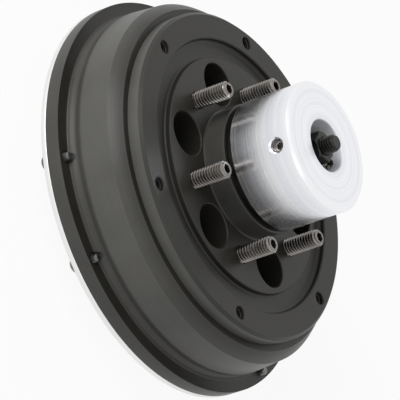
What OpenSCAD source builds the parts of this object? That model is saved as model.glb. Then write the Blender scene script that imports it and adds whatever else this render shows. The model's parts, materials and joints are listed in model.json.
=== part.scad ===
// Bolt-together torque converter: a drum-shaped front cover with six drive studs,
// a flat rear plate that carries the impeller, a turbine on the output shaft and hub,
// and a stator on a one-way roller clutch. The axis of rotation is +Z, and the rear
// neck stands on z = 0. All sizes are in millimetres.

/* [Flange and drum] */
// Outside diameter of the flange and the rear plate
flange_d = 184; // [180:1:230]
// Thickness of the cover's flange
flange_t = 7; // [5:0.5:10]
// Diameter of the drum where it stands on the flange
drum_base_d = 172; // [168:0.5:174]
// Diameter of the drum at its shoulder
drum_top_d = 160; // [154:0.5:168]
// Height from the flange's rear to the step
drum_h = 33.3; // [31:0.1:45]
// Diameter of the raised front ring
ring_d = 153.6; // [152:0.2:156]
// Height of the front ring above the step
ring_h = 6.9; // [5:0.1:12]
// Chamfer round the front face
face_chamfer = 1.4; // [0.5:0.1:2]

/* [Front face] */
// Outside diameter of the annular recess
recess_d = 128.4; // [124:0.2:132]
// Diameter of the central plateau
plateau_d = 110.5; // [109:0.5:116]
// Depth of the annular recess
recess_depth = 3.1; // [2:0.1:5]
// Diameter of the front boss
boss_d = 60.5; // [60:0.1:62]
// Height of the front boss above the plateau
boss_h = 10.6; // [10.6:0.1:14]
// Pitch circle of the six large pockets
pocket_pcd = 84.6; // [84:0.2:86]
// Diameter of a large pocket
pocket_d = 20.4; // [14:0.1:21]
// Depth of a large pocket
pocket_depth = 15.5; // [10:0.5:15.5]
// Pitch circle of the six tapped holes
tap_pcd = 140.6; // [140:0.2:142]
// Diameter of a tapped hole
tap_d = 5; // [4:0.1:6]
// Depth of a tapped hole
tap_depth = 13; // [8:0.5:14]

/* [Fasteners] */
// Pitch circle of the drive studs
stud_pcd = 82.2; // [80:0.2:84]
// Diameter of a drive stud
stud_d = 7.94; // [6:0.01:8]
// Length of a drive stud outside the cover
stud_out = 17.2; // [10:0.1:24]
// Length of a drive stud inside the cover
stud_in = 11; // [8:0.5:13]
// Width across the flats of a stud's hex socket
stud_hex = 4; // [3:0.1:4]
// Pitch circle of the flange screws
screw_pcd = 176.4; // [176:0.2:178]
// Diameter of a flange screw
screw_d = 4; // [3:0.5:4]
// Length of a flange screw under its head
screw_len = 12; // [11:0.5:14]
// Diameter of a flange screw's button head
screw_head_d = 7.6; // [6.5:0.1:7.6]
// Height of a flange screw's button head
screw_head_h = 2.2; // [1.8:0.1:3]

/* [Output hub and shaft] */
// Diameter of the output hub
hub_d = 60.4; // [59:0.1:62]
// Length of the output hub
hub_h = 31; // [28:0.5:45]
// Gap between the boss and the output hub
hub_gap = 3.2; // [2:0.1:5]
// Chamfer on the output hub's front edge
hub_chamfer = 1.3; // [0.5:0.1:2]
// Diameter of the output hub's bore
bore_d = 24.4; // [23:0.1:28]
// Depth of the output hub's bore
bore_depth = 22; // [20:0.5:24]
// Diameter of the output shaft in its bearing
shaft_d = 25; // [24:0.1:25]
// Diameter of the shaft's seat in the output hub
seat_d = 16; // [14:0.1:17]
// Diameter of the shaft's threaded end
thread_d = 7.94; // [6:0.01:8]
// Length of threaded end past the output hub's face
thread_out = 5.5; // [2:0.1:12]
// Width across the flats of the hub nut
nut_af = 12.7; // [11:0.1:14]
// Thickness of the hub nut
nut_t = 6.5; // [4:0.1:7]
// Diameter of a hub set screw
set_d = 6; // [4:0.5:6]
// Distance of the set screws from the hub's face
set_in = 7.6; // [6:0.1:10]

/* [Rear plate and neck] */
// Thickness of the rear plate
plate_t = 2.5; // [2:0.1:4]
// Length of the rear neck behind the plate
neck_h = 16; // [15:0.5:24]
// Outside diameter of the rear neck
neck_d = 54; // [53:0.5:56]
// Wall of the rear neck
neck_wall = 3; // [3:0.1:4]
// Diameter of the weld collar on the neck
collar_d = 62; // [58:1:70]
// Outside diameter of the reaction tube
tube_d = 40; // [39:0.1:40]
// Bore of the reaction tube
tube_bore = 26; // [24:0.1:27]

/* [Torus] */
// Radius to the inner arc's centre of the torus section
torus_r1 = 54; // [53:0.1:55]
// Radius to the outer arc's centre of the torus section
torus_r2 = 66; // [64:0.1:67]
// Half the height of the torus section
torus_half = 10; // [9.5:0.1:10]
// Half the height of the core section
core_half = 4; // [3.5:0.1:4.5]
// Gap round the torus inside the cover
torus_gap = 2.6; // [1:0.1:2.6]
// Gap between the turbine's disc and the cover
turbine_gap = 1; // [0.8:0.1:2]
// Thickness of the torus shells
shell_t = 1.5; // [1:0.1:1.8]
// Thickness of the core rings
core_t = 1.2; // [0.8:0.1:1.5]
// Thickness of a vane
vane_t = 1; // [0.8:0.1:1.5]
// Number of impeller vanes
impeller_vane_n = 20; // [10:10:20]
// Number of turbine vanes
turbine_vane_n = 24; // [8:8:24]
// Number of stator blades
stator_blade_n = 13; // [9:1:15]

/* [Clutch and bearing] */
// Diameter of the clutch's inner race
race_d = 56; // [55:0.5:57]
// Diameter of a clutch roller
roller_d = 4.8; // [4:0.1:5]
// Number of clutch rollers
roller_n = 8; // [6:1:10]
// Outside diameter of the front ball bearing
bearing_od = 47; // [46:0.5:47]
// Width of the front ball bearing
bearing_w = 12; // [10:0.5:12]
// Diameter of a ball
ball_d = 7.14; // [6:0.01:7.14]
// Number of balls
ball_n = 10; // [8:1:10]

/* [Hidden] */
$fn = 96;

// clearances
press = 0.03;      // radial gap of a pressed or bolted seat
running = 0.05;    // radial gap of a running fit
end_gap = 0.1;     // end gap of a thrust face
vane_gap = 0.12;   // gap between a vane and its shell
cut = 1;           // overrun of a cut
stud_relief = 0.3; // step in radius between a stud's fixed end and its exposed end

// heights from the rear end of the neck
plate_z = neck_h;
flange_z = plate_z + plate_t;
step_z = flange_z + drum_h;
face_z = step_z + ring_h;
recess_z = face_z - recess_depth;
boss_z = face_z + boss_h;
hub_z = boss_z + hub_gap;
hub_top_z = hub_z + hub_h;
bore_z = hub_top_z - bore_depth;

// drum profile
cove_h = 7.4;
cove_depth = 0.9;
wall_top_d = drum_top_d + 8.6;
shoulder_h = 5.4;
base_fillet = 0.8;

// front bearing and its seat
bearing_top = boss_z - 3;
bearing_z = bearing_top - bearing_w;
bearing_r = bearing_od / 2;
ball_pitch_r = (bearing_r + shaft_d / 2) / 2;
inner_race_r = ball_pitch_r - 2.6;
outer_race_r = ball_pitch_r + 2.6;
clip_t = 1.6;
clip_z = bearing_top + 0.2;
clip_out = 1.3;
seal_bore_r = bearing_r - 3;
seal_h = 7;
seal_z = bearing_z - 1.3 - seal_h;

// torus, turbine and stator heights
torus_z = flange_z + torus_half;
turbine_top = torus_z + torus_half;
disc_t = 1.5;
disc_r = torus_r2;
cavity_r = torus_r2 + torus_half + torus_gap;
ceiling_z = turbine_top + disc_t + turbine_gap;
half_gap = 0.6;
inner_cut = 5.5;
inner_cut_r = torus_r1 + 2;
rivet_r = (torus_r1 + torus_r2) / 2;
rivet_d = 3;
impeller_rivet_n = impeller_vane_n / 2;
turbine_rivet_n = turbine_vane_n / 3;

// clutch and reaction tube
race_w = 11;
race_z = torus_z - inner_cut;
race_top = race_z + race_w;
tube_z = 2;
tube_r = tube_d / 2;
tube_key_w = 8;
tube_bore_h = 19;
bush_wall = 4;
pilot_z = tube_z + tube_bore_h;
pilot_r = tube_bore / 2 + 1;
tail_r = pilot_r - bush_wall;
roller_r = roller_d / 2;
roller_pitch_r = race_d / 2 + 0.1 + roller_r;
cam_r = race_d / 2 + 0.6;
clutch_r = roller_pitch_r + roller_r + 5.1;
wheel_r = clutch_r + 5;
shroud_r = torus_r1 - core_half - 0.8;
shroud_t = 1.1;
washer_t = turbine_top - race_top - 2 * end_gap;
collar_z = race_top + 1.5;
turbine_hub_r = tube_r;

// shaft and hub
shaft_z = race_top + 0.5;
thread_top = hub_top_z + thread_out;
nut_z = hub_top_z - 0.6 - nut_t;
sleeve_r = thread_d / 2 + 4.5;
washer_h = 1.6;
spacer_r = hub_d / 2 - 2.7;
spacer_small_r = shaft_d / 2 + 3.5;
set_angles = [52.5, 203];
set_len = 12;
set_z = hub_top_z - set_in;
set_face_r = hub_d / 2 - 3.6;
key_w = 5;
turbine_key_w = 4;

// flange screws stand in pairs, three pairs round the flange
screw_angles = [for (k = [0:2]) for (s = [-15, 15]) 60 + 120 * k + s];
screw_notch_r = 3.1;
spot_depth = 0.3;
notch_h = 4.4;
neck_r = neck_d / 2;
neck_in_r = neck_r - neck_wall;
o_ring_r = 0.95;
o_ring_centre = cavity_r + 3.4;

// black anodised cover, bright hub, dark steel screws
black = [0.14, 0.14, 0.13];
bright = [0.86, 0.87, 0.88];
dark_steel = [0.30, 0.28, 0.26];
steel = [0.62, 0.63, 0.64];
bronze = [0.68, 0.50, 0.26];
rubber = [0.07, 0.07, 0.07];
cast = [0.70, 0.70, 0.68];
plastic = [0.45, 0.30, 0.18];

// points along a quarter arc, from angle a0 to a1 about a centre
function arc(cx, cy, rx, ry, a0, a1, n) =
    [for (i = [0:n]) let (a = a0 + (a1 - a0) * i / n) [cx + rx * cos(a), cy + ry * sin(a)]];

// the drum's wall: a shallow cove above the flange, then a light draft
function drum_wall() =
    [for (i = [0:8]) let (f = i / 8)
        [drum_base_d / 2 - 0.4 * f - cove_depth * pow(sin(180 * f), 2),
         flange_z + flange_t + base_fillet + (cove_h - base_fillet) * f]];

module ring(r_in, r_out, z, h) {
    translate([0, 0, z]) difference() {
        cylinder(r = r_out, h = h);
        translate([0, 0, -cut]) cylinder(r = r_in, h = h + 2 * cut);
    }
}

module around(n, r, start = 0) {
    for (k = [0:n - 1]) rotate([0, 0, start + 360 * k / n]) translate([r, 0, 0]) children();
}

// a blind hole from the top, with a chamfered mouth
module blind_hole(r, z_top, depth, chamfer) {
    translate([0, 0, z_top - depth]) cylinder(r = r, h = depth + cut);
    translate([0, 0, z_top - chamfer])
        cylinder(r1 = r, r2 = r + 2 * chamfer, h = 2 * chamfer);
}

// ---------- housing ----------

module cover_profile() {
    outer_r = flange_d / 2;
    top_r = drum_top_d / 2;
    wall_r = wall_top_d / 2;
    flange_top = flange_z + flange_t;
    polygon(concat(
        [[cavity_r, flange_z], [outer_r - 0.5, flange_z], [outer_r, flange_z + 0.5],
         [outer_r, flange_top - 0.5], [outer_r - 0.5, flange_top],
         [drum_base_d / 2 + base_fillet, flange_top]],
        drum_wall(),
        arc(wall_r - 4.3, step_z - shoulder_h, 4.3, shoulder_h, 0, 90, 8),
        [[ring_d / 2 + 0.4, step_z], [ring_d / 2, step_z + 0.4],
         [ring_d / 2, face_z - face_chamfer], [ring_d / 2 - face_chamfer, face_z],
         [recess_d / 2 + 0.5, face_z], [recess_d / 2, face_z - 0.5]],
        arc(recess_d / 2 - 2, recess_z + 2, 2, 2, 0, -90, 6),
        arc(plateau_d / 2 + 1, recess_z + 1, 1, 1, -90, -180, 4),
        [[plateau_d / 2, face_z - 0.4], [plateau_d / 2 - 0.4, face_z],
         [boss_d / 2 + 0.6, face_z], [boss_d / 2, face_z + 0.6],
         [boss_d / 2, boss_z - 0.6], [boss_d / 2 - 0.6, boss_z],
         [bearing_r + 0.5, boss_z], [bearing_r, boss_z - 0.5],
         [bearing_r, clip_z + clip_t], [bearing_r + clip_out, clip_z + clip_t],
         [bearing_r + clip_out, clip_z], [bearing_r, clip_z],
         [bearing_r, bearing_z], [seal_bore_r, bearing_z],
         [seal_bore_r, ceiling_z], [cavity_r - 3, ceiling_z]],
        arc(cavity_r - 3, ceiling_z - 3, 3, 3, 90, 0, 6)
    ));
}

module front_cover() {
    color(black) difference() {
        rotate_extrude($fn = 180) cover_profile();
        around(6, pocket_pcd / 2, 30) blind_hole(pocket_d / 2, face_z, pocket_depth, 0.4);
        around(6, stud_pcd / 2) blind_hole(stud_d / 2 - stud_relief + press, face_z, stud_in, 0.4);
        around(6, tap_pcd / 2) blind_hole(tap_d / 2, face_z, tap_depth, 0.5);
        for (a = screw_angles) rotate([0, 0, a]) translate([screw_pcd / 2, 0, 0]) {
            translate([0, 0, flange_z - cut])
                cylinder(r = screw_d / 2 + press, h = flange_t + 2 * cut);
            translate([0, 0, flange_z + flange_t - spot_depth])
                cylinder(r = screw_notch_r, h = spot_depth + notch_h);
        }
        ring(o_ring_centre - o_ring_r - 0.3, o_ring_centre + o_ring_r + 0.3,
             flange_z - cut, 2 * o_ring_r + cut + 0.02);
    }
}

module drive_studs() {
    color(dark_steel) around(6, stud_pcd / 2) difference() {
        rotate_extrude() polygon([
            [0, face_z - stud_in + 0.2], [stud_d / 2 - 1, face_z - stud_in + 0.2],
            [stud_d / 2 - stud_relief, face_z - stud_in + 1.2],
            [stud_d / 2 - stud_relief, face_z], [stud_d / 2, face_z],
            [stud_d / 2, face_z + stud_out - 1], [stud_d / 2 - 1, face_z + stud_out],
            [0, face_z + stud_out]]);
        translate([0, 0, face_z + stud_out - 4.5])
            cylinder(d = stud_hex / cos(30), h = 6, $fn = 6);
    }
}

module flange_screws() {
    color(steel) for (a = screw_angles) rotate([0, 0, a]) translate([screw_pcd / 2, 0, plate_z]) {
        difference() {
            translate([0, 0, -screw_head_h]) {
                cylinder(r1 = screw_head_d / 2 - 1.5, r2 = screw_head_d / 2, h = 1.5);
                translate([0, 0, 1.5]) cylinder(r = screw_head_d / 2, h = screw_head_h - 1.5);
            }
            translate([0, 0, -screw_head_h - cut])
                cylinder(d = 2.5 / cos(30), h = 1.4 + cut, $fn = 6);
        }
        cylinder(r = screw_d / 2, h = screw_len - 0.6);
        translate([0, 0, screw_len - 0.6])
            cylinder(r1 = screw_d / 2, r2 = screw_d / 2 - 0.6, h = 0.6);
    }
}

module cover_o_ring() {
    color(rubber) rotate_extrude($fn = 120)
        translate([o_ring_centre, flange_z + o_ring_r]) circle(r = o_ring_r, $fn = 24);
}

module rear_plate() {
    color(bright) difference() {
        rotate_extrude($fn = 180) polygon([
            [neck_r + press, plate_z], [flange_d / 2 - 0.4, plate_z],
            [flange_d / 2, plate_z + 0.4], [flange_d / 2, flange_z],
            [neck_r + press, flange_z]]);
        for (a = screw_angles) rotate([0, 0, a]) translate([screw_pcd / 2, 0, plate_z - cut])
            cylinder(r = screw_d / 2 + 0.15, h = plate_t + 2 * cut);
        around(impeller_rivet_n, rivet_r, 180 / impeller_vane_n)
            translate([0, 0, plate_z - cut]) cylinder(r = rivet_d / 2 + press, h = plate_t + 2 * cut);
    }
}

module rear_neck() {
    color(steel) rotate_extrude($fn = 120) polygon([
        [neck_in_r, 0.5], [neck_in_r + 0.5, 0], [neck_r - 1, 0], [neck_r, 1],
        [neck_r, plate_z - 3], [collar_d / 2 - 0.5, plate_z - 3],
        [collar_d / 2, plate_z - 2.5], [collar_d / 2, plate_z],
        [neck_r, plate_z], [neck_r, flange_z], [neck_in_r, flange_z]]);
}

module neck_bush() {
    color(bronze) ring(tube_r + running, neck_in_r - press, 6, flange_z - 6.5);
}

module neck_seal() {
    color(rubber) ring(tube_r + running, neck_in_r - press, 0.8, 4.8);
}

// ---------- torus parts ----------

module stadium(half) {
    translate([torus_r1, torus_z]) circle(r = half);
    translate([torus_r2, torus_z]) circle(r = half);
    translate([torus_r1, torus_z - half]) square([torus_r2 - torus_r1, 2 * half]);
}

// the half of the torus section on one side of the split, side = -1 rear or +1 front
module half_section(side, gap) {
    low = side < 0 ? flange_z - cut : torus_z + gap;
    low_in = side < 0 ? flange_z - cut : torus_z + inner_cut + gap - half_gap;
    translate([inner_cut_r, low]) square([40, torus_half + cut - gap]);
    translate([30, low_in]) square([inner_cut_r - 30, torus_half + cut - inner_cut - gap + half_gap]);
}

module shell_section(side) {
    intersection() {
        difference() {
            stadium(torus_half);
            stadium(torus_half - shell_t);
        }
        half_section(side, half_gap);
    }
}

module core_section(side) {
    intersection() {
        difference() {
            stadium(core_half);
            stadium(core_half - core_t);
        }
        translate([30, side < 0 ? torus_z - 20 : torus_z + half_gap]) square([60, 20 - half_gap]);
    }
}

module vane_section(side) {
    intersection() {
        difference() {
            stadium(torus_half - shell_t - vane_gap);
            stadium(core_half + vane_gap);
        }
        half_section(side, 2 * half_gap);
    }
}

module vanes(side, n) {
    for (k = [0:n - 1]) rotate([0, 0, 360 * k / n]) rotate([90, 0, 0])
        linear_extrude(vane_t, center = true) vane_section(side);
}

module rivets(n, start, z0, z1, head) {
    around(n, rivet_r, start) {
        translate([0, 0, z0]) cylinder(r = rivet_d / 2, h = z1 - z0);
        translate([0, 0, z0 - head]) cylinder(r1 = rivet_d / 2, r2 = rivet_d / 2 + 1, h = head);
        translate([0, 0, z1]) cylinder(r1 = rivet_d / 2 + 1, r2 = rivet_d / 2, h = head);
    }
}

module impeller_shell() {
    color(cast) difference() {
        rotate_extrude($fn = 120) shell_section(-1);
        around(impeller_rivet_n, rivet_r, 180 / impeller_vane_n)
            translate([0, 0, flange_z - cut]) cylinder(r = rivet_d / 2 + press, h = shell_t + 2 * cut);
    }
}

module impeller_vanes() {
    color(cast) vanes(-1, impeller_vane_n);
}

module impeller_core() {
    color(cast) rotate_extrude($fn = 120) core_section(-1);
}

module impeller_rivets() {
    color(steel) rivets(impeller_rivet_n, 180 / impeller_vane_n, plate_z, flange_z + shell_t, 0.7);
}

module turbine_shell() {
    color(steel) difference() {
        rotate_extrude($fn = 120) shell_section(1);
        around(turbine_rivet_n, rivet_r, 180 / turbine_vane_n)
            translate([0, 0, turbine_top - shell_t - cut])
                cylinder(r = rivet_d / 2 + press, h = shell_t + 2 * cut);
    }
}

module turbine_vanes() {
    color(steel) vanes(1, turbine_vane_n);
}

module turbine_core() {
    color(steel) rotate_extrude($fn = 120) core_section(1);
}

module turbine_hub() {
    color(steel) difference() {
        union() {
            ring(shaft_d / 2 + press, turbine_hub_r, collar_z, turbine_top - collar_z);
            ring(shaft_d / 2 + press, disc_r, turbine_top, disc_t);
        }
        around(turbine_rivet_n, rivet_r, 180 / turbine_vane_n)
            translate([0, 0, turbine_top - cut]) cylinder(r = rivet_d / 2 + press, h = disc_t + 2 * cut);
        key_slot(turbine_key_w, shaft_d / 2, collar_z - cut, turbine_top + disc_t + cut);
    }
}

module turbine_rivets() {
    color(steel) rivets(turbine_rivet_n, 180 / turbine_vane_n,
                        turbine_top - shell_t, turbine_top + disc_t, 0.5);
}

// ---------- bearing, seal and shaft ----------

// the space a key needs in a shaft or a hub, half in each
module key_slot(w, r, z0, z1) {
    translate([r - w / 2 - press, -w / 2 - press, z0]) cube([w + 2 * press, w + 2 * press, z1 - z0]);
}

module key_bar(w, r, z0, z1) {
    translate([r - w / 2, -w / 2, z0]) cube([w, w, z1 - z0]);
}

module ball_track() {
    rotate_extrude($fn = 96)
        translate([ball_pitch_r, bearing_z + bearing_w / 2]) circle(r = ball_d / 2 + running, $fn = 48);
}

module bearing_outer_race() {
    color(steel) difference() {
        ring(outer_race_r, bearing_r - press, bearing_z, bearing_w);
        ball_track();
    }
}

module bearing_inner_race() {
    color(steel) difference() {
        ring(shaft_d / 2 + press, inner_race_r, bearing_z, bearing_w);
        ball_track();
    }
}

module bearing_balls() {
    color(steel) around(ball_n, ball_pitch_r)
        translate([0, 0, bearing_z + bearing_w / 2]) sphere(d = ball_d, $fn = 48);
}

module bearing_cage() {
    color(bronze) difference() {
        ring(ball_pitch_r - 1.1, ball_pitch_r + 1.1, bearing_z + 1.2, bearing_w - 2.4);
        around(ball_n, ball_pitch_r)
            translate([0, 0, bearing_z + bearing_w / 2]) sphere(d = ball_d + 4 * running, $fn = 48);
    }
}

module bearing_circlip() {
    color(dark_steel) {
        difference() {
            ring(bearing_r - 1.4, bearing_r + clip_out - 0.1, clip_z + 0.05, clip_t - 0.1);
            translate([0, -3, clip_z - cut]) cube([40, 6, clip_t + 2 * cut]);
        }
        for (s = [-1, 1]) translate([bearing_r - 2.4, 4.6 * s, clip_z + 0.05]) difference() {
            cylinder(r = 1.9, h = clip_t - 0.1, $fn = 32);
            translate([0, 0, -cut]) cylinder(r = 0.8, h = clip_t + 2 * cut, $fn = 32);
        }
    }
}

module shaft_seal() {
    color(rubber) ring(shaft_d / 2 + running, seal_bore_r - press, seal_z, seal_h);
}

module turbine_key() {
    color(steel) key_bar(turbine_key_w, shaft_d / 2, collar_z + 0.3, turbine_top + disc_t - 0.2);
}

module output_shaft() {
    color(black) difference() {
        union() {
            translate([0, 0, pilot_z + 0.5]) cylinder(r = tail_r - running, h = shaft_z - pilot_z);
            translate([0, 0, shaft_z]) cylinder(r = shaft_d / 2, h = hub_z - shaft_z);
            translate([0, 0, hub_z - cut]) cylinder(r = seat_d / 2, h = bore_z - hub_z + cut);
            translate([0, 0, bore_z - cut]) cylinder(r = thread_d / 2, h = thread_top - 1 - bore_z + cut);
            translate([0, 0, thread_top - 1])
                cylinder(r1 = thread_d / 2, r2 = thread_d / 2 - 1, h = 1);
        }
        key_slot(turbine_key_w, shaft_d / 2, collar_z, turbine_top + disc_t);
        key_slot(key_w, seat_d / 2, hub_z, bore_z + cut);
    }
}

module neck_spacer() {
    color(black) {
        ring(shaft_d / 2 + press, spacer_small_r, bearing_top, boss_z + 0.4 - bearing_top);
        ring(shaft_d / 2 + press, spacer_r, boss_z + 0.4, hub_gap - 0.4);
    }
}

// ---------- output hub ----------

module output_hub() {
    r = hub_d / 2;
    color(bright) difference() {
        rotate_extrude($fn = 180) polygon([
            [seat_d / 2 + press, hub_z], [r - 0.5, hub_z], [r, hub_z + 0.5],
            [r, hub_top_z - hub_chamfer], [r - hub_chamfer, hub_top_z],
            [bore_d / 2 + 0.3, hub_top_z], [bore_d / 2, hub_top_z - 0.3],
            [bore_d / 2, bore_z], [seat_d / 2 + press, bore_z]]);
        key_slot(key_w, seat_d / 2, hub_z - cut, bore_z + cut);
        for (a = set_angles) rotate([0, 0, a]) translate([0, 0, set_z]) rotate([0, 90, 0]) {
            cylinder(r = set_d / 2 + press, h = hub_d);
            translate([0, 0, r - 0.9])
                cylinder(r1 = set_d / 2 + press, r2 = set_d / 2 + press + 1.8, h = 1.8);
        }
    }
}

module hub_key() {
    color(steel) key_bar(key_w, seat_d / 2, hub_z + 0.2, bore_z - 0.2);
}

module nut_sleeve() {
    color(black) ring(thread_d / 2 + press, sleeve_r, bore_z, nut_z - washer_h - bore_z);
}

module hub_washer() {
    color(black) ring(thread_d / 2 + press, nut_af / 2 + 0.9, nut_z - washer_h, washer_h);
}

module hub_nut() {
    color(black) difference() {
        intersection() {
            translate([0, 0, nut_z]) cylinder(d = nut_af / cos(30), h = nut_t, $fn = 6);
            translate([0, 0, nut_z - 1]) {
                cylinder(r = nut_af / cos(30) / 2, h = nut_t);
                translate([0, 0, nut_t])
                    cylinder(r1 = nut_af / cos(30) / 2, r2 = nut_af / 2 - 0.4, h = 1);
            }
        }
        translate([0, 0, nut_z - cut]) cylinder(r = thread_d / 2 + press, h = nut_t + 2 * cut);
    }
}

module hub_set_screws() {
    color(dark_steel) for (a = set_angles) rotate([0, 0, a])
        translate([set_face_r - set_len, 0, set_z]) rotate([0, 90, 0]) difference() {
            union() {
                cylinder(r1 = set_d / 2 - 1, r2 = set_d / 2, h = 1);
                translate([0, 0, 1]) cylinder(r = set_d / 2, h = set_len - 1.6);
                translate([0, 0, set_len - 0.6])
                    cylinder(r1 = set_d / 2, r2 = set_d / 2 - 0.6, h = 0.6);
            }
            translate([0, 0, set_len - 3.5]) cylinder(d = 3 / cos(30), h = 5, $fn = 6);
        }
}

// ---------- stator and one-way clutch ----------

module stator_wheel() {
    color(cast) {
        ring(clutch_r + press, wheel_r, race_z, race_w);
        ring(shroud_r - shroud_t, shroud_r, race_z + 1, race_w - 2);
        for (k = [0:stator_blade_n - 1]) rotate([0, 0, 360 * k / stator_blade_n])
            translate([(wheel_r + shroud_r - shroud_t) / 2, 0, race_z + race_w / 2])
                rotate([28, 0, 0])
                    cube([shroud_r - shroud_t - wheel_r + 1, 1.4, race_w - 3], center = true);
    }
}

module clutch_outer_race() {
    color(steel) difference() {
        ring(cam_r, clutch_r, race_z, race_w);
        around(roller_n, roller_pitch_r) translate([0, 0, race_z - cut]) {
            cylinder(r = roller_r + 0.1, h = race_w + 2 * cut);
            translate([-1.4, 0, 0]) cube([2.8, 5.6, race_w + 2 * cut]);
        }
    }
}

module clutch_rollers() {
    color(steel) around(roller_n, roller_pitch_r)
        translate([0, 0, race_z + 0.5]) cylinder(r = roller_r, h = race_w - 1);
}

module clutch_springs() {
    color(steel) around(roller_n, roller_pitch_r)
        translate([0, roller_r + 0.1, race_z + race_w / 2]) rotate([-90, 0, 0])
            cylinder(r = 1.1, h = 5.6 - roller_r - 0.2);
}

module stator_rear_washer() {
    color(plastic) ring(neck_r + 2, wheel_r - 1, flange_z + end_gap, race_z - flange_z - end_gap);
}

module stator_front_washer() {
    color(plastic) ring(neck_r + 2, wheel_r - 1, race_top, washer_t + end_gap);
}

module reaction_tube() {
    color(steel) difference() {
        ring(tube_bore / 2, tube_r, tube_z, race_top - tube_z);
        translate([0, 0, pilot_z]) cylinder(r = pilot_r, h = 40);
        translate([0, -tube_key_w / 2, tube_z - cut])
            cube([tube_bore / 2 + 3, tube_key_w, tube_bore_h + cut]);
    }
}

module clutch_inner_race() {
    color(steel) ring(tube_r + press, race_d / 2, race_z, race_w);
}

module pilot_bush() {
    color(bronze) ring(tail_r, pilot_r - press, pilot_z, shaft_z - pilot_z - 0.5);
}

module turbine_washer() {
    color(plastic) ring(pilot_r + 0.5, tube_r - 0.3, race_top, collar_z - race_top - end_gap);
}

front_cover();
drive_studs();
flange_screws();
cover_o_ring();
rear_plate();
rear_neck();
neck_bush();
neck_seal();
impeller_shell();
impeller_vanes();
impeller_core();
impeller_rivets();
bearing_outer_race();
bearing_circlip();
shaft_seal();
bearing_balls();
bearing_cage();
bearing_inner_race();
turbine_shell();
turbine_vanes();
turbine_core();
turbine_hub();
turbine_rivets();
turbine_key();
output_shaft();
neck_spacer();
output_hub();
hub_key();
nut_sleeve();
hub_washer();
hub_nut();
hub_set_screws();
stator_wheel();
clutch_outer_race();
clutch_rollers();
clutch_springs();
stator_rear_washer();
stator_front_washer();
reaction_tube();
clutch_inner_race();
pilot_bush();
turbine_washer();
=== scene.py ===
import bpy
import json
import math
from mathutils import Matrix, Vector


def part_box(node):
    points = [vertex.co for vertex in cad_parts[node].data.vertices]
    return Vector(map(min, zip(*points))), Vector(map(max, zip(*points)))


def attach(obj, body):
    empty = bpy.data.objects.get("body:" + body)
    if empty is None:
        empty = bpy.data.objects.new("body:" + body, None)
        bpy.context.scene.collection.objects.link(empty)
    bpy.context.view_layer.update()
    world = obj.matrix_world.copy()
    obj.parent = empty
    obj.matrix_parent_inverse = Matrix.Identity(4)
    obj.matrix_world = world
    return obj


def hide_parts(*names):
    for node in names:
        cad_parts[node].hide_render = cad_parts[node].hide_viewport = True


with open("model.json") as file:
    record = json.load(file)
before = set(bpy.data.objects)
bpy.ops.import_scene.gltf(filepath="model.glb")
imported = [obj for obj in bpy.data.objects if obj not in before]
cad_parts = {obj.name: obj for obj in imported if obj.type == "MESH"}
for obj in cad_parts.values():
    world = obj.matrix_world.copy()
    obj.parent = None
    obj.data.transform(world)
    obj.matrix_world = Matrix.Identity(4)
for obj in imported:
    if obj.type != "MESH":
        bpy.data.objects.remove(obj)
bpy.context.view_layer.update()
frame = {"nodes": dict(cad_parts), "record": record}
mm = 0.001
nodes = frame["nodes"]
mounts = {mount["name"]: mount for mount in frame["record"]["mounts"]}


def low(name):
    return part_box(name)[0] / mm


def high(name):
    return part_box(name)[1] / mm


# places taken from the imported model, in millimetres
plateZ = low("rear_plate").z
flangeZ = high("rear_plate").z
bossZ = high("front_cover").z
flangeR = high("front_cover").x
hubZ = low("output_hub").z
hubTopZ = high("output_hub").z
hubR = mounts["output_hub_pilot"]["dims"]["r_mm"]
faceZ = mounts["drive_studs"]["pos_m"][2] / mm


def clearSelection():
    if bpy.context.object and bpy.context.object.mode != "OBJECT":
        bpy.ops.object.mode_set(mode="OBJECT")
    bpy.ops.object.select_all(action="DESELECT")


def pick(*objects):
    clearSelection()
    for thing in objects:
        thing.select_set(True)
    bpy.context.view_layer.objects.active = objects[0]


def editAll(thing):
    pick(thing)
    bpy.ops.object.mode_set(mode="EDIT")
    bpy.ops.mesh.select_all(action="SELECT")


def applyPlace(thing):
    pick(thing)
    bpy.ops.object.transform_apply(location=True, rotation=True, scale=True)


def applyModifiers(thing):
    pick(thing)
    for modifier in list(thing.modifiers):
        bpy.ops.object.modifier_apply(modifier=modifier.name)


def tidyMesh(thing, gap=0.00001):
    editAll(thing)
    bpy.ops.mesh.remove_doubles(threshold=gap)
    bpy.ops.mesh.normals_make_consistent(inside=False)
    bpy.ops.object.mode_set(mode="OBJECT")


def smooth(thing, degrees=28):
    pick(thing)
    bpy.ops.object.shade_smooth_by_angle(angle=math.radians(degrees))


def arc(cx, cz, rx, rz, start, stop, steps):
    angles = [math.radians(start + (stop - start) * i / steps) for i in range(steps + 1)]
    return [(cx + rx * math.cos(a), cz + rz * math.sin(a)) for a in angles]


def soften(points, radius, steps=3):
    # rounds each corner of a closed outline, less where a side is short
    rounded = []
    count = len(points)
    for i, point in enumerate(points):
        here = Vector(point)
        before = Vector(points[i - 1])
        after = Vector(points[(i + 1) % count])
        turnAngle = (here - before).angle(after - here, 0)
        reach = min(radius, (here - before).length * 0.45, (after - here).length * 0.45)
        if turnAngle < math.radians(20) or reach < 0.02:
            rounded.append(tuple(here))
            continue
        first = here + (before - here).normalized() * reach
        last = here + (after - here).normalized() * reach
        for k in range(steps + 1):
            t = k / steps
            spot = first * (1 - t) ** 2 + here * 2 * t * (1 - t) + last * t ** 2
            rounded.append(tuple(spot))
    return rounded


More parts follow.
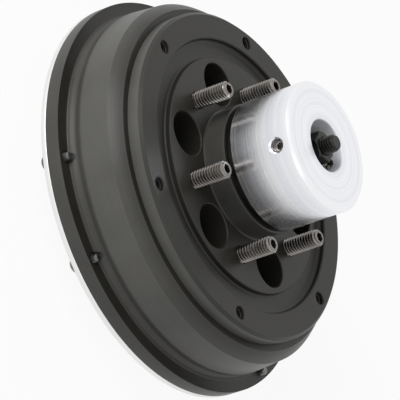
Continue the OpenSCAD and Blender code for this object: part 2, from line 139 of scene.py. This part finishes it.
def drawLine(name, points, closed=True):
    clearSelection()
    spots = [Vector((x * mm, 0, z * mm)) for x, z in points]
    if closed:
        spots.append(spots[0])
    bpy.ops.mesh.primitive_plane_add(size=mm, location=spots[0])
    line = bpy.context.object
    line.name = name
    applyPlace(line)
    editAll(line)
    bpy.ops.mesh.merge(type="CENTER")
    for here, there in zip(spots, spots[1:]):
        bpy.ops.mesh.extrude_region_move(TRANSFORM_OT_translate={"value": there - here})
    bpy.ops.object.mode_set(mode="OBJECT")
    return line


def lathe(name, points, steps=180, closed=True):
    part = drawLine(name, points, closed)
    editAll(part)
    bpy.ops.mesh.spin(steps=steps, angle=2 * math.pi, center=(0, 0, 0), axis=(0, 0, 1))
    bpy.ops.object.mode_set(mode="OBJECT")
    tidyMesh(part)
    return part


def rod(radius, z0, z1, x=0, y=0, sides=48, name="rod", topRadius=None):
    clearSelection()
    bpy.ops.mesh.primitive_cone_add(
        vertices=sides, radius1=radius * mm,
        radius2=(radius if topRadius is None else topRadius) * mm,
        depth=(z1 - z0) * mm, location=(x * mm, y * mm, (z0 + z1) / 2 * mm),
        rotation=(0, 0, math.radians(2.3)))
    part = bpy.context.object
    part.name = name
    applyPlace(part)
    return part


def joined(name, parts):
    pick(*parts)
    if len(parts) > 1:
        bpy.ops.object.join()
    whole = bpy.context.object
    whole.name = name
    return whole


def around(part, count, radius, start=0, angles=None):
    # copies of a part modelled on the axis, set out on a circle
    angles = angles or [start + 360 * k / count for k in range(count)]
    copies = []
    for angle in angles:
        clone = part.copy()
        clone.data = part.data.copy()
        bpy.context.collection.objects.link(clone)
        place = Matrix.Rotation(math.radians(angle), 4, "Z")
        clone.data.transform(place @ Matrix.Translation((radius * mm, 0, 0)))
        copies.append(clone)
    bpy.data.objects.remove(part)
    return copies


def carve(part, cutters, operation="DIFFERENCE"):
    cutter = joined("cutter", cutters)
    tidyMesh(cutter, 0.000001)
    cut = part.modifiers.new("carve", "BOOLEAN")
    cut.operation = operation
    cut.solver = "EXACT"
    cut.object = cutter
    applyModifiers(part)
    bpy.data.objects.remove(cutter)
    return part


def winding(name, profile, pitch, count, steps):
    # a closed outline wound round the axis, closed at both ends
    strip = drawLine(name, profile)
    turns = strip.modifiers.new("turns", "SCREW")
    turns.axis = "Z"
    turns.angle = 2 * math.pi
    turns.screw_offset = pitch * mm
    turns.iterations = count
    turns.steps = steps
    turns.render_steps = steps
    applyModifiers(strip)
    tidyMesh(strip)
    editAll(strip)
    bpy.ops.mesh.fill_holes(sides=8)
    bpy.ops.mesh.normals_make_consistent(inside=False)
    bpy.ops.object.mode_set(mode="OBJECT")
    return strip


def ridge(name, crest, root, pitch, z0, z1):
    # the raised thread alone, its foot sunk a little into the core
    foot = root - 0.06
    start = z0 - pitch
    return winding(name, [
        (foot, start - pitch * 0.46), (crest, start - pitch * 0.07),
        (crest, start + pitch * 0.07), (foot, start + pitch * 0.46)],
        pitch, math.ceil((z1 - z0) / pitch) + 2, 36)


def threadedRod(name, radius, pitch, depth, z0, z1, chamfer, socket=0, socketDepth=0):
    root = radius - depth
    end = radius - chamfer
    core = lathe(name, [
        (0, z0), (min(root, end), z0), (root, z0 + chamfer), (root, z1 - chamfer),
        (min(root, end), z1), (0, z1)], 48)
    if socket:
        carve(core, [rod(socket / math.sqrt(3), z1 - socketDepth, z1 + 1, sides=6)])
        flare = socket / math.sqrt(3) * 0.93
        carve(core, [rod(flare, z1 - 0.25, z1 + 0.25, sides=32, topRadius=flare + 0.5)])
    strip = ridge(name + "Ridge", radius, root, pitch, z0, z1)
    for vertex in strip.data.vertices:
        height = vertex.co.z / mm
        allowed = min(radius, end + z1 - height, end + height - z0)
        if not z0 < height < z1:
            allowed = min(root, end) - 0.3
            vertex.co.z = min(max(height, z0 + 0.05), z1 - 0.05) * mm
        reach = math.hypot(vertex.co.x, vertex.co.y) / mm
        if reach > allowed:
            vertex.co.x *= allowed / reach
            vertex.co.y *= allowed / reach
    return joined(name, [core, strip])


def finishPiece(part, body, material, stands=(), degrees=28):
    smooth(part, degrees)
    part.data.materials.clear()
    part.data.materials.append(material)
    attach(part, body)
    if stands:
        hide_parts(*stands)
    print("made", part.name, len(part.data.polygons))
    return part


def feed(tree, socket, value):
    if isinstance(value, Wire):
        tree.links.new(value.socket, socket)
    else:
        socket.default_value = value


class Wire:
    def __init__(self, tree, socket):
        self.tree = tree
        self.socket = socket

    def into(self, operation, first, second=0.0):
        node = self.tree.nodes.new("ShaderNodeMath")
        node.operation = operation
        for socket, value in zip(node.inputs, (first, second)):
            feed(self.tree, socket, value)
        return Wire(self.tree, node.outputs[0])

    def __add__(self, other):
        return self.into("ADD", self, other)

    def __radd__(self, other):
        return self.into("ADD", other, self)

    def __sub__(self, other):
        return self.into("SUBTRACT", self, other)

    def __rsub__(self, other):
        return self.into("SUBTRACT", other, self)

    def __mul__(self, other):
        return self.into("MULTIPLY", self, other)

    def __rmul__(self, other):
        return self.into("MULTIPLY", other, self)

    def root(self):
        return self.into("SQRT", self)

    def clamp(self):
        return self.into("MINIMUM", self.into("MAXIMUM", self, 0.0), 1.0)


class Nodes:
    def __init__(self, tree):
        self.tree = tree

    def add(self, kind, settings=None, values=None, pick=0):
        node = self.tree.nodes.new(kind)
        for key, value in (settings or {}).items():
            setattr(node, key, value)
        for key, value in (values or {}).items():
            feed(self.tree, node.inputs[key], value)
        return Wire(self.tree, node.outputs[pick])

    def shown(self):
        # 1 where the camera, a reflection or clear material looks
        rays = ("Is Camera Ray", "Is Glossy Ray", "Is Transmission Ray")
        seen, gloss, clear = (self.add("ShaderNodeLightPath", pick=ray) for ray in rays)
        return (seen + gloss + clear).clamp()


class Finish(Nodes):
    sockets = {"baseColor": "Base Color", "roughness": "Roughness", "metallic": "Metallic",
               "ior": "IOR", "normal": "Normal"}

    def __init__(self, name):
        self.material = bpy.data.materials.new(name)
        self.material.use_nodes = True
        super().__init__(self.material.node_tree)
        self.shader = self.tree.nodes["Principled BSDF"]
        self.place = self.add("ShaderNodeTexCoord", pick="Object")
        self.x, self.y, self.z = (self.part(self.place, axis) for axis in "XYZ")
        normal = self.add("ShaderNodeNewGeometry", pick="Normal")
        self.facing = self.part(normal, "Z")

    def part(self, vector, axis):
        return self.add("ShaderNodeSeparateXYZ", None, {"Vector": vector}, axis)

    def noise(self, scale, detail=3.0, vector=None, roughness=0.5):
        return self.add("ShaderNodeTexNoise", None, {
            "Vector": vector or self.place, "Scale": scale,
            "Detail": detail, "Roughness": roughness}, "Fac")

    def radius(self):
        return (self.x * self.x + self.y * self.y).root()

    def lathed(self, fine):
        # noise that only changes along the tool's path from the axis
        path = self.add("ShaderNodeCombineXYZ", None, {
            "X": self.radius() * fine, "Y": self.z * fine, "Z": 0.0})
        return self.noise(1.0, 2.0, path)

    def blend(self, mask, first, second):
        # the colour sockets of the mix node are numbers 6 and 7, its colour output is 2
        first, second = (color if isinstance(color, Wire) else (*color, 1.0)
                         for color in (first, second))
        return self.add("ShaderNodeMix", {"data_type": "RGBA"},
                        {"Factor": mask, 6: first, 7: second}, 2)

    def set(self, **values):
        for key, value in values.items():
            feed(self.tree, self.shader.inputs[self.sockets[key]], value)

    def bump(self, height, strength, distance):
        normal = self.add("ShaderNodeBump", None, {
            "Height": height, "Strength": strength, "Distance": distance}, "Normal")
        self.set(normal=normal)


def blackAnodised(name="blackAnodised"):
    look = {
        "dark": (0.009, 0.0085, 0.0065), "worn": (0.024, 0.0225, 0.019),
        # painted light: the wall colours are a lit copy of the black faces' colour, mottled the same
        # way
        "wallDark": (0.058, 0.057, 0.052), "wallWorn": (0.098, 0.097, 0.090),
        # painted shade: the factor below the step darkens the foot of the drum wall
        "drumR": 0.0745, "drumStepZ": 0.0300, "belowStep": 0.55, "bossR": 0.0308, "onBoss": 0.6,
        "upright": 0.35, "rough": 0.43, "ior": 1.37,
    }
    finish = Finish(name)
    cloud = finish.noise(55.0, 4.0)
    marks = finish.lathed(2600.0)
    grain = finish.noise(2400.0, 3.0)
    mottle = (cloud * 0.9 + grain * 0.35 + (marks - 0.5) * 0.7 - 0.25).clamp()
    # painted light: the turned walls of the drum and the boss are painted greyer than the flat
    # faces, a lit copy of the black that stands in for the side light falling on them
    drumPaintedLight = ((finish.radius() - look["drumR"]) * 700.0).clamp()
    aboveStep = ((finish.z - look["drumStepZ"]) * 300.0).clamp()
    # painted shade: below the step the wall's lighter colour is cut back, standing in for the black
    # flange reflected at the wall's foot
    base = look["belowStep"] + aboveStep * (1.0 - look["belowStep"])
    # painted light: the boss's side gets the lighter wall colour as well
    boss = ((look["bossR"] - finish.radius()) * 1500.0).clamp() * look["onBoss"]
    # painted light by facing: upright surfaces get the lighter colour, faces turned up keep the dark
    # black
    upright = 1.0 - ((finish.facing - look["upright"]) * 2.2).clamp()
    paintedLightOnWalls = (drumPaintedLight * base + boss).clamp() * upright
    face = finish.blend(mottle, look["dark"], look["worn"])
    # painted light: the lit copy of the black, used on the walls
    side = finish.blend(mottle, look["wallDark"], look["wallWorn"])
    finish.set(
        baseColor=finish.blend(paintedLightOnWalls, face, side),
        roughness=look["rough"] + (cloud - 0.5) * 0.14 + (grain - 0.5) * 0.10,
        metallic=0.0, ior=look["ior"])
    finish.bump(marks * 0.7 + grain * 0.5, 0.5, 0.00004)
    return finish.material


def turnedAluminium(name="turnedAluminium"):
    finish = Finish(name)
    rings = finish.lathed(1900.0)
    broad = finish.lathed(210.0)
    cloud = finish.noise(38.0, 3.0)
    # the bore wall is dull beside the bright turned faces
    boreR = 0.0132
    inside = ((boreR - finish.radius()) * 900.0).clamp()
    streaks = ((broad - 0.5) * 1.3 + 0.5 + (rings - 0.5) * 1.2).clamp()
    finish.set(
        baseColor=finish.blend(streaks, (0.72, 0.74, 0.80), (0.93, 0.925, 0.92)),
        roughness=0.19 + rings * 0.10 + (cloud - 0.5) * 0.10 + inside * 0.3,
        metallic=1.0 - inside)
    finish.bump(rings + broad * 0.8, 0.5, 0.00003)
    return finish.material


def brushedPlate(name="brushedPlate"):
    finish = Finish(name)
    rings = finish.lathed(1500.0)
    cloud = finish.noise(26.0, 4.0)
    finish.set(
        baseColor=finish.blend(cloud, (0.74, 0.74, 0.74), (0.90, 0.90, 0.89)),
        roughness=0.30 + rings * 0.14 + (cloud - 0.5) * 0.10,
        metallic=1.0)
    finish.bump(rings, 0.4, 0.00003)
    return finish.material


def steel(name, low, high, rough, metallic=1.0, lines=900.0, spots=180.0):
    finish = Finish(name)
    cloud = finish.noise(spots, 4.0)
    rings = finish.lathed(lines)
    finish.set(
        baseColor=finish.blend(cloud, low, high),
        roughness=rough + (cloud - 0.5) * 0.16 + (rings - 0.5) * 0.10,
        metallic=metallic)
    finish.bump(rings * 0.6 + cloud * 0.4, 0.3, 0.00003)
    return finish.material


def castMetal(name="castMetal"):
    finish = Finish(name)
    pits = finish.noise(900.0, 4.0)
    cloud = finish.noise(60.0, 3.0)
    finish.set(
        baseColor=finish.blend(cloud, (0.50, 0.50, 0.49), (0.66, 0.66, 0.64)),
        roughness=0.46 + (pits - 0.5) * 0.25, metallic=1.0)
    finish.bump(pits, 0.6, 0.0001)
    return finish.material


def softRubber(name="softRubber"):
    finish = Finish(name)
    grain = finish.noise(1600.0, 3.0)
    dust = finish.noise(90.0, 4.0)
    finish.set(
        baseColor=finish.blend(dust, (0.012, 0.012, 0.012), (0.030, 0.029, 0.028)),
        roughness=0.62 + (grain - 0.5) * 0.2, metallic=0.0)
    finish.bump(grain, 0.4, 0.00005)
    return finish.material


def resin(name="resin"):
    finish = Finish(name)
    weave = finish.noise(700.0, 5.0)
    finish.set(
        baseColor=finish.blend(weave, (0.16, 0.075, 0.03), (0.30, 0.16, 0.08)),
        roughness=0.45 + (weave - 0.5) * 0.2, metallic=0.0)
    finish.bump(weave, 0.3, 0.00005)
    return finish.material


finishes = {
    "black_anodised": blackAnodised(),
    "turned_aluminium": turnedAluminium(),
    "plate_aluminium": brushedPlate(),
    "stud_steel": steel("studSteel", (0.11, 0.10, 0.092), (0.36, 0.34, 0.32), 0.27),
    "black_oxide": steel("blackOxide", (0.018, 0.018, 0.018), (0.06, 0.058, 0.055), 0.36),
    "machine_steel": steel("machineSteel", (0.46, 0.46, 0.46), (0.62, 0.62, 0.61), 0.30),
    "screw_steel": steel("screwSteel", (0.10, 0.10, 0.10), (0.26, 0.26, 0.255), 0.30),
    "bearing_steel": steel("bearingSteel", (0.58, 0.58, 0.58), (0.74, 0.74, 0.74), 0.16),
    "bush_bronze": steel("bushBronze", (0.50, 0.30, 0.12), (0.72, 0.50, 0.25), 0.30),
    "seal_rubber": softRubber(),
    "cast_aluminium": castMetal(),
    "pressed_steel": steel("pressedSteel", (0.30, 0.30, 0.29), (0.48, 0.48, 0.47), 0.38),
    "thrust_resin": resin(),
}
for entry in frame["record"]["subparts"]:
    node = nodes[entry["node"]]
    node.data.materials.clear()
    node.data.materials.append(finishes[entry["material_slot"]])
print("finishes ready")


coverShape = {
    "flangeT": 7.0, "stepZ": flangeZ + 33.3, "recessDepth": 3.1,
    "baseR": 86.0, "topR": 80.0, "wallR": 84.3, "ringR": 76.8, "cavityR": 78.6,
    "cavityH": 22.5, "recessR": 64.2, "plateauR": 55.25, "bossR": 30.25,
    "bearingR": 23.5, "bearingZ": 54.3, "sealR": 20.5, "clipZ": 66.5, "clipT": 1.6,
    "pocketCircle": 42.3, "pocketR": 10.2, "pocketDepth": 15.5,
    "pocketMouth": 0.4, "tapCircle": mounts["face_holes"]["dims"]["pcd_mm"] / 2, "tapR": 3.0,
    "tapCore": 2.5, "tapDepth": 12.8, "tapMouth": 0.4, "tapPitch": 1.0,
    "screwCircle": 88.2, "screwR": 2.03, "notchR": 3.1, "notchTop": 30.0,
    "studCircle": mounts["drive_studs"]["dims"]["pcd_mm"] / 2,
    "studR": mounts["drive_studs"]["dims"]["stud_r_mm"], "studGap": 0.03, "studDepth": 11.0,
    "studMouth": 0.35,
}
screwAngles = [60 + 120 * k + s for k in range(3) for s in (-15, 15)]


def coverOutline():
    s = coverShape
    flangeTop = flangeZ + s["flangeT"]
    recessZ = faceZ - s["recessDepth"]
    ceiling = flangeZ + s["cavityH"]
    wall = []
    for i in range(13):
        f = i / 12
        dip = 0.9 * math.sin(math.pi * f) ** 2
        wall.append((s["baseR"] - 0.4 * f - dip, flangeTop + 0.8 + 6.6 * f))
    shoulder = []
    for i in range(9):
        f = i / 8
        bulge = 0.22 * math.sin(math.pi * f)
        shoulder.append((s["wallR"] + (s["topR"] - s["wallR"]) * f + bulge * 0.78,
                         s["stepZ"] - 5.4 * (1 - f) + bulge * 0.62))
    outer = [(s["cavityR"], flangeZ), (flangeR, flangeZ), (flangeR, flangeTop)]
    front = [
        (s["ringR"], s["stepZ"]), (s["ringR"], faceZ - 1.4), (s["ringR"] - 1.4, faceZ),
        (s["recessR"] + 0.5, faceZ), (s["recessR"], faceZ - 0.5)]
    boss = [
        (s["plateauR"], faceZ - 0.4), (s["plateauR"] - 0.4, faceZ),
        (s["bossR"] + 0.6, faceZ), (s["bossR"], faceZ + 0.6), (s["bossR"], bossZ - 0.6),
        (s["bossR"] - 0.6, bossZ), (s["bearingR"] + 0.5, bossZ), (s["bearingR"], bossZ - 0.5),
        (s["bearingR"], s["clipZ"] + s["clipT"]), (s["bearingR"] + 1.3, s["clipZ"] + s["clipT"]),
        (s["bearingR"] + 1.3, s["clipZ"]), (s["bearingR"], s["clipZ"]),
        (s["bearingR"], s["bearingZ"]), (s["sealR"], s["bearingZ"]),
        (s["sealR"], ceiling), (s["cavityR"] - 3, ceiling)]
    return (
        soften(outer, 0.5)[3:]
        + arc(s["baseR"] + 0.8, flangeTop + 0.8, 0.8, 0.8, 270, 180, 5) + wall[1:]
        + shoulder
        + front + arc(s["recessR"] - 2, recessZ + 2, 2, 2, 0, -90, 8)
        + arc(s["plateauR"] + 1, recessZ + 1, 1, 1, -90, -180, 5) + boss
        + arc(s["cavityR"] - 3, ceiling - 3, 3, 3, 90, 0, 8)
        + [(s["cavityR"], flangeZ)])


def mouthHole(radius, top, depth, chamfer, sides=48):
    hole = rod(radius, top - depth, top + 2, sides=sides)
    mouth = rod(radius, top - chamfer, top + chamfer, sides=sides, topRadius=radius + 2 * chamfer)
    return carve(hole, [mouth], "UNION")


def makeCover():
    s = coverShape
    cover = lathe("coverShell", coverOutline(), 216)
    pocket = mouthHole(s["pocketR"], faceZ, s["pocketDepth"], s["pocketMouth"], 64)
    carve(cover, around(pocket, 6, s["pocketCircle"], 30))
    studHole = mouthHole(s["studR"] + s["studGap"], faceZ, s["studDepth"], s["studMouth"])
    carve(cover, around(studHole, 6, s["studCircle"]))
    tapHole = mouthHole(s["tapR"], faceZ, s["tapDepth"], s["tapMouth"])
    carve(cover, around(tapHole, 6, s["tapCircle"]))
    flangeTop = flangeZ + s["flangeT"]
    for angle in screwAngles:
        hole = rod(s["screwR"], flangeZ - 1, flangeTop + 1)
        notch = rod(s["notchR"], flangeTop - 0.3, s["notchTop"])
        carve(cover, around(carve(hole, [notch], "UNION"), 1, s["screwCircle"], angle))
    finishPiece(cover, "housing", finishes["black_anodised"],
                ["front_cover"], 26)


studShape = {"pitch": 1.411, "depth": 0.80, "tip": 1.0, "socket": 4.0, "socketDepth": 4.5}


def makeStuds():
    s = studShape
    top = high("drive_studs").z
    bottom = low("drive_studs").z
    stud = threadedRod("stud", coverShape["studR"], s["pitch"], s["depth"], bottom, top, s["tip"],
                       s["socket"], s["socketDepth"])
    studs = joined("driveStuds", around(stud, 6, coverShape["studCircle"]))
    finishPiece(studs, "housing", finishes["stud_steel"], ["drive_studs"], 35)


screwShape = {"headR": 3.8, "headH": 2.2, "shankR": 2.0, "pitch": 0.7, "depth": 0.42, "socket": 2.5}


def makeTapThreads():
    # the crests inside each tapped hole: the same winding, pointing inwards
    s = coverShape
    pitch = s["tapPitch"]
    start = faceZ - s["tapDepth"] + 0.3
    strip = winding("tapThreads", [
        (s["tapR"] + 0.05, start - 0.42 * pitch), (s["tapCore"], start - 0.08 * pitch),
        (s["tapCore"], start + 0.08 * pitch), (s["tapR"] + 0.05, start + 0.42 * pitch)],
        pitch, int(s["tapDepth"] - 1), 32)
    threads = joined("tapThreads", around(strip, 6, s["tapCircle"]))
    finishPiece(threads, "housing", finishes["black_anodised"], degrees=35)


def makeFlangeScrews():
    s = screwShape
    top = high("flange_screws").z
    shank = threadedRod("shank", s["shankR"], s["pitch"], s["depth"], plateZ - 0.2, top, 0.6)
    dome = arc(0, plateZ - 0.25, s["headR"], s["headH"] - 0.25, 270, 360, 9)
    head = lathe("head", dome + [(s["headR"], plateZ), (0, plateZ)], 40)
    carve(head, [rod(s["socket"] / math.sqrt(3), plateZ - s["headH"] - 1,
                     plateZ - s["headH"] + 1.4, sides=6)])
    screws = joined("flangeScrews", around(joined("screw", [head, shank]), 6,
                                           coverShape["screwCircle"], angles=screwAngles))
    finishPiece(screws, "housing", finishes["screw_steel"], ["flange_screws"], 35)


hubShape = {
    "boreR": mounts["hub_bore"]["dims"]["r_mm"], "boreDepth": 22.0, "seatR": 8.03,
    "chamfer": 1.3, "setR": 3.0, "setIn": 7.6, "setAngles": (52.5, 203.0), "setLength": 12.0,
    "setFace": 26.6, "setPitch": 1.0, "setThread": 0.6, "tailR": 9.95, "tailL": 13.0,
    "threadR": 3.97, "shaftPitch": 1.411, "shaftThread": 0.80,
    "nutFlats": 12.7, "nutT": 6.5, "nutIn": 0.6,
}


def acrossHub(angle=0):
    # lays a part made along the axis out from the axis, at the set screws' height
    setZ = hubTopZ - hubShape["setIn"]
    return (Matrix.Translation((0, 0, setZ * mm)) @ Matrix.Rotation(math.radians(angle), 4, "Z")
            @ Matrix.Rotation(math.radians(90), 4, "Y"))


def hubCutter(radius, start, stop, angle, endRadius=None):
    cutter = rod(radius, start, stop, topRadius=endRadius, sides=40)
    cutter.data.transform(acrossHub(angle))
    return cutter


def makeHub():
    s = hubShape
    bore = hubTopZ - s["boreDepth"]
    side = [(hubR, hubZ + 0.5 + (hubTopZ - s["chamfer"] - hubZ - 0.5) * i / 8) for i in range(9)]
    outline = [(s["seatR"], hubZ), (hubR - 0.5, hubZ)] + side + [
        (hubR - s["chamfer"], hubTopZ), (s["boreR"] + 0.3, hubTopZ), (s["boreR"], hubTopZ - 0.3),
        (s["boreR"], bore), (s["seatR"], bore)]
    hub = lathe("hubBody", outline, 240)
    for angle in s["setAngles"]:
        carve(hub, [hubCutter(s["setR"] + 0.02, s["boreR"] - 3, hubR + 2, angle)])
        carve(hub, [hubCutter(s["setR"] + 0.02, hubR - 0.9, hubR + 0.9, angle, s["setR"] + 1.8)])
    finishPiece(hub, "turbine", finishes["turned_aluminium"], ["output_hub"], 26)


def makeShaft():
    s = hubShape
    shaftR = high("output_shaft").x
    tip = high("output_shaft").z
    start = low("output_shaft").z
    bore = hubTopZ - s["boreDepth"]
    body = lathe("shaftBody", soften([
        (0, start), (s["tailR"], start), (s["tailR"], start + s["tailL"]),
        (shaftR, start + s["tailL"]), (shaftR, hubZ),
        (s["seatR"] - 0.03, hubZ), (s["seatR"] - 0.03, bore), (s["threadR"] - 0.5, bore),
        (s["threadR"] - 0.5, bore + 3), (0, bore + 3)], 0.3), 96)
    thread = threadedRod("thread", s["threadR"], s["shaftPitch"], s["shaftThread"],
                         bore + 2.5, tip, 1.0)
    shaft = joined("outputShaft", [body, thread])
    finishPiece(shaft, "turbine", finishes["black_oxide"], ["output_shaft"], 35)


def makeNut():
    s = hubShape
    cornerR = s["nutFlats"] / math.sqrt(3)
    top = hubTopZ - s["nutIn"]
    base = top - s["nutT"]
    nut = rod(cornerR, base, top, sides=6)
    limit = lathe("limit", [
        (0, base - 1), (s["nutFlats"] / 2 - 0.2, base - 0.01), (cornerR, base + 0.75),
        (cornerR + 0.01, top - 0.95), (s["nutFlats"] / 2 - 0.3, top + 0.01), (0, top + 1)], 64)
    carve(nut, [limit], "INTERSECT")
    hole = rod(s["threadR"] + 0.03, base - 1, top + 1)
    mouth = rod(s["threadR"] + 0.03, top - 0.6, top + 0.6, topRadius=s["threadR"] + 1.2)
    carve(nut, [hole])
    carve(nut, [mouth])
    nut.name = "hubNut"
    finishPiece(nut, "turbine", finishes["black_oxide"], ["hub_nut"], 30)


def makeSetScrews():
    s = hubShape
    screw = threadedRod("setScrew", s["setR"], s["setPitch"], s["setThread"],
                        s["setFace"] - s["setLength"], s["setFace"], 0.7, 3.0, 3.5)
    screw.data.transform(acrossHub())
    screws = joined("setScrews", around(screw, 2, 0, angles=s["setAngles"]))
    finishPiece(screws, "turbine", finishes["stud_steel"], ["hub_set_screws"], 35)


rearShape = {
    "plateHoleR": 2.15, "plateRound": 0.4, "neckWall": 3.0, "collarH": 3.0, "collarOut": 4.0,
    "neckRound": 0.7, "rivetR": 1.5, "rivetHeadR": 2.5, "rivetHeadH": 0.7, "rivetCount": 10,
    "rivetCircle": 60.0, "rivetStart": 9, "sealIn": 20.05,
}


def makeRearPlate():
    s = rearShape
    neckR = mounts["rear_neck_pilot"]["dims"]["r_mm"]
    outline = soften([(neckR + 0.03, plateZ), (flangeR, plateZ), (flangeR, flangeZ),
                      (neckR + 0.03, flangeZ)], s["plateRound"])
    plate = lathe("rearDisc", outline, 216)
    holes = around(rod(s["plateHoleR"], plateZ - 1, flangeZ + 1), 6, coverShape["screwCircle"],
                   angles=screwAngles)
    carve(plate, holes)
    finishPiece(plate, "housing", finishes["plate_aluminium"], ["rear_plate"])


def makeRivets():
    s = rearShape
    seat = high("impeller_rivets").z - s["rivetHeadH"]
    outer = arc(0, plateZ, s["rivetHeadR"], s["rivetHeadH"], 270, 360, 6)
    inner = arc(0, seat, s["rivetHeadR"], s["rivetHeadH"], 0, 90, 6)
    shank = [(s["rivetR"], plateZ + 0.01), (s["rivetR"], seat)]
    rivet = lathe("rivet", outer + shank + inner, 32)
    rivets = joined("plateRivets", around(rivet, s["rivetCount"], s["rivetCircle"], s["rivetStart"]))
    finishPiece(rivets, "housing", finishes["screw_steel"], ["impeller_rivets"], 40)


def makeNeck():
    s = rearShape
    neckR = mounts["rear_neck_pilot"]["dims"]["r_mm"]
    bore = neckR - s["neckWall"]
    collar = plateZ - s["collarH"]
    collarR = neckR + s["collarOut"]
    neck = lathe("rearNeck", soften([
        (bore, 0), (neckR, 0), (neckR, collar - 0.01), (collarR, collar), (collarR, plateZ),
        (neckR, plateZ), (neckR, flangeZ), (bore, flangeZ)], s["neckRound"]), 120)
    finishPiece(neck, "housing", finishes["machine_steel"], ["rear_neck"])


def makeNeckSeal():
    inner = rearShape["sealIn"]
    outer = mounts["rear_neck_pilot"]["dims"]["r_mm"] - rearShape["neckWall"] - 0.03
    base = low("neck_seal").z
    top = high("neck_seal").z
    seal = lathe("lipSeal", soften([
        (inner + 0.9, base + 0.5), (inner + 1.7, base + 0.5), (inner + 2.0, base + 1.6),
        (outer - 0.8, base + 1.6), (outer - 0.6, base), (outer, base), (outer, top),
        (inner + 0.9, top), (inner, base + 2.9), (inner + 0.1, base + 2.3)], 0.3), 96)
    finishPiece(seal, "housing", finishes["seal_rubber"], ["neck_seal"])


for makePiece in (makeCover, makeTapThreads, makeStuds, makeFlangeScrews, makeHub, makeShaft,
                  makeNut, makeSetScrews, makeRearPlate, makeRivets, makeNeck, makeNeckSeal):
    makePiece()


stageLook = {
    "aim": (-0.00651, -0.00427, 0.02879), "azimuth": 66.5, "elevation": 31.2, "roll": 70.77,
    "distance": 1.4945, "lens": 296.2, "worldDiffuse": 0.55, "floorWhite": 0.88, "floorSize": 6.0,
    "key": (12, 20, 1.6, 1.1, 20), "fill": (80, 40, 1.7, 1.2, 2),
}


def makeFloor():
    clearSelection()
    bpy.ops.mesh.primitive_plane_add(size=stageLook["floorSize"], location=(0, 0, -0.0002))
    floor = bpy.context.object
    floor.name = "floor"
    applyPlace(floor)
    finish = Finish("paleFloor")
    grain = finish.noise(30.0, 3.0)
    paper = finish.blend(grain, (0.90, 0.90, 0.90), (0.93, 0.93, 0.93))
    finish.set(baseColor=paper, roughness=0.8)
    lit = Wire(finish.tree, finish.shader.outputs[0])
    white = finish.add("ShaderNodeEmission", None, {"Strength": 1.0})
    mixed = finish.add("ShaderNodeMixShader", None, {
        0: finish.shown() * stageLook["floorWhite"], 1: lit, 2: white})
    feed(finish.tree, finish.tree.nodes["Material Output"].inputs["Surface"], mixed)
    floor.data.materials.append(finish.material)


def makeWorld():
    world = bpy.data.worlds.new("whiteTent")
    bpy.context.scene.world = world
    world.use_nodes = True
    sky = Nodes(world.node_tree)
    dim = stageLook["worldDiffuse"]
    shade = sky.tree.nodes["Background"]
    feed(sky.tree, shade.inputs["Color"], (1, 1, 1, 1))
    feed(sky.tree, shade.inputs["Strength"], dim + sky.shown() * (1 - dim))


def softbox(name, azimuth, elevation, distance, size, power):
    a, e = math.radians(azimuth), math.radians(elevation)
    spot = Vector((math.cos(a) * math.cos(e), math.sin(a) * math.cos(e), math.sin(e))) * distance
    aim = Vector((0, 0, 0.05))
    data = bpy.data.lights.new(name, "AREA")
    data.shape = "SQUARE"
    data.size = size
    data.energy = power
    lamp = bpy.data.objects.new(name, data)
    lamp.location = aim + spot
    lamp.rotation_euler = (-spot).to_track_quat("-Z", "Y").to_euler()
    bpy.context.collection.objects.link(lamp)


def makeCamera():
    s = stageLook
    a, e = math.radians(s["azimuth"]), math.radians(s["elevation"])
    back = Vector((math.cos(a) * math.cos(e), math.sin(a) * math.cos(e), math.sin(e)))
    data = bpy.data.cameras.new("camera")
    data.lens = s["lens"]
    data.sensor_width = 36
    data.clip_end = 20
    camera = bpy.data.objects.new("camera", data)
    turned = (-back).to_track_quat("-Z", "Y") @ Matrix.Rotation(
        math.radians(s["roll"]), 3, "Z").to_quaternion()
    camera.rotation_mode = "QUATERNION"
    camera.rotation_quaternion = turned
    camera.location = Vector(s["aim"]) + back * s["distance"]
    bpy.context.collection.objects.link(camera)
    bpy.context.scene.camera = camera


makeFloor()
makeWorld()
for lampName in ("key", "fill"):
    softbox(lampName, *stageLook[lampName])
makeCamera()
print("stage ready")
bpy.context.scene.view_settings.view_transform = "Standard"
